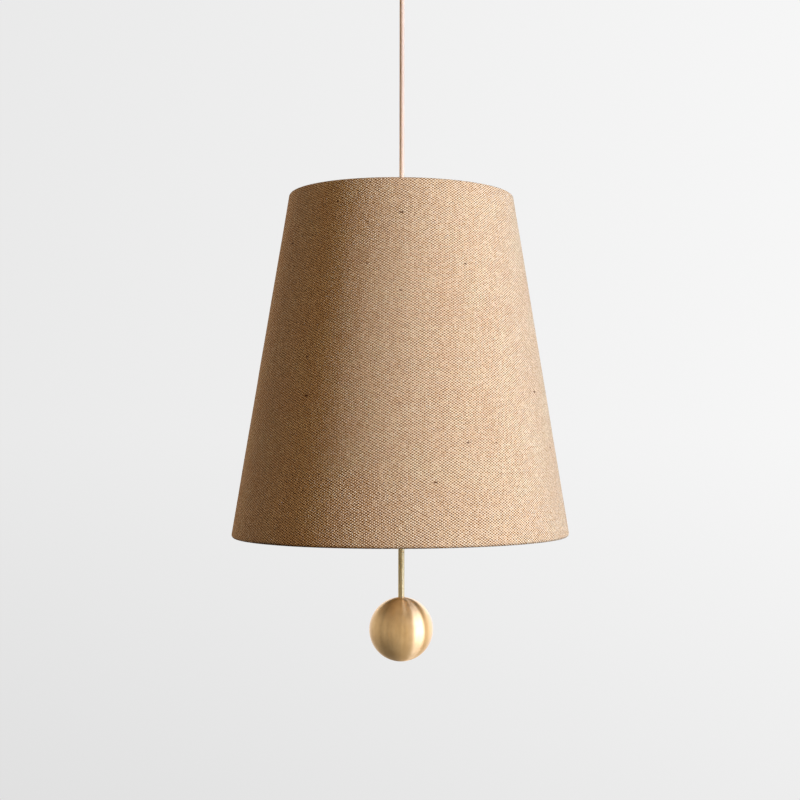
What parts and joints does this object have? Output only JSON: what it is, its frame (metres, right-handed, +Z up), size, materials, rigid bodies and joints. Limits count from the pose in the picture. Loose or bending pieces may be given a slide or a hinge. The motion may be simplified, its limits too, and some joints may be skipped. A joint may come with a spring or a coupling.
{
  "type": "pendant light",
  "caption": "Pendant light: a conical woven shade on a wire spider under a taut cord and ceiling canopy, with push-in lamps inside and a brass ball on a rod below.",
  "frame": {"origin": "on the ceiling, midway between the strap's two screw slots", "axes": "+Z up along the cord, +X along the strap, the shade's seam at +Y"},
  "size_m": [0.299, 0.2995, 0.6432],
  "materials": {
    "satin_brass": "satin, turned",
    "zinc_steel": "zinc plated",
    "painted_wire": "white powder coat",
    "shade_weave": "coarse natural weave",
    "liner_sheet": "matt white sheet",
    "cord_textile": "braided textile",
    "white_nylon": "moulded",
    "lead_brown": "insulated lead",
    "lead_blue": "insulated lead",
    "lead_earth": "insulated lead",
    "holder_ceramic": "unglazed",
    "bulb_plastic": "moulded",
    "bulb_opal": "opal",
    "light_board": "coated board"
  },
  "bodies": {
    "ceiling": {"mounting_strap": "zinc_steel", "canopy_cup": "satin_brass", "canopy_screws": "satin_brass", "terminal_block": "white_nylon", "terminal_screws": "zinc_steel", "terminal_fixing_screw": "zinc_steel", "cord_bush": "satin_brass", "bush_nut": "zinc_steel", "cord_stop": "white_nylon", "stop_screw": "zinc_steel", "cord_tail": "cord_textile", "ceiling_lead_live": "lead_brown", "ceiling_lead_earth": "lead_earth", "ceiling_lead_neutral": "lead_blue"},
    "cord_bend": {"cord_bend": "cord_textile"},
    "cord": {"suspension_cord": "cord_textile"},
    "lamp": {"cord_grip": "satin_brass", "grip_screw": "zinc_steel", "stem_tube": "satin_brass", "stem_nuts": "zinc_steel", "top_ring": "painted_wire", "spider": "painted_wire", "bottom_ring": "painted_wire", "shade_fabric": "shade_weave", "shade_liner": "liner_sheet", "hub_upper": "satin_brass", "hub_lower": "satin_brass", "hub_connector": "white_nylon", "lamp_leads_live": "lead_brown", "lamp_lead_earth": "lead_earth", "lamp_leads_neutral": "lead_blue", "nipples": "satin_brass", "nipple_nuts": "zinc_steel", "arm_collars": "satin_brass", "holder_contacts": "zinc_steel", "retaining_rings": "satin_brass", "hanger_rod": "satin_brass", "rod_nut": "zinc_steel", "ball_shell": "satin_brass", "ball_insert": "satin_brass", "lamp_cup_1": "satin_brass", "lamp_cup_2": "satin_brass", "lamp_cup_3": "satin_brass", "lampholder_1": "holder_ceramic", "lampholder_2": "holder_ceramic", "lampholder_3": "holder_ceramic"},
    "bulb_1": {"bulb_base_1": "bulb_plastic", "bulb_pins_1": "zinc_steel", "bulb_board_1": "light_board", "bulb_envelope_1": "bulb_opal"},
    "bulb_2": {"bulb_base_2": "bulb_plastic", "bulb_pins_2": "zinc_steel", "bulb_board_2": "light_board", "bulb_envelope_2": "bulb_opal"},
    "bulb_3": {"bulb_base_3": "bulb_plastic", "bulb_pins_3": "zinc_steel", "bulb_board_3": "light_board", "bulb_envelope_3": "bulb_opal"}
  },
  "joints": [
    {"name": "swing_front_back", "type": "hinge", "parent": "ceiling", "child": "cord_bend", "pos_m": [0, 0, -0.0325], "axis": [1, 0, 0], "range_deg": [-25, 25]},
    {"name": "swing_side", "type": "hinge", "parent": "cord_bend", "child": "cord", "pos_m": [0, 0, -0.0325], "axis": [0, 1, 0], "range_deg": [-25, 25]},
    {"name": "cord_twist", "type": "hinge", "parent": "cord", "child": "lamp", "pos_m": [0, 0, -0.2395], "axis": [0, 0, 1], "range_deg": [-180, 180]},
    {"name": "bulb_pull_1", "type": "slide", "parent": "lamp", "child": "bulb_1", "axis": [0, -0.766, -0.6428], "range_m": [0, 0.022]},
    {"name": "bulb_pull_2", "type": "slide", "parent": "lamp", "child": "bulb_2", "axis": [0.6634, 0.383, -0.6428], "range_m": [0, 0.022]},
    {"name": "bulb_pull_3", "type": "slide", "parent": "lamp", "child": "bulb_3", "axis": [-0.6634, 0.383, -0.6428], "range_m": [0, 0.022]}
  ]
}
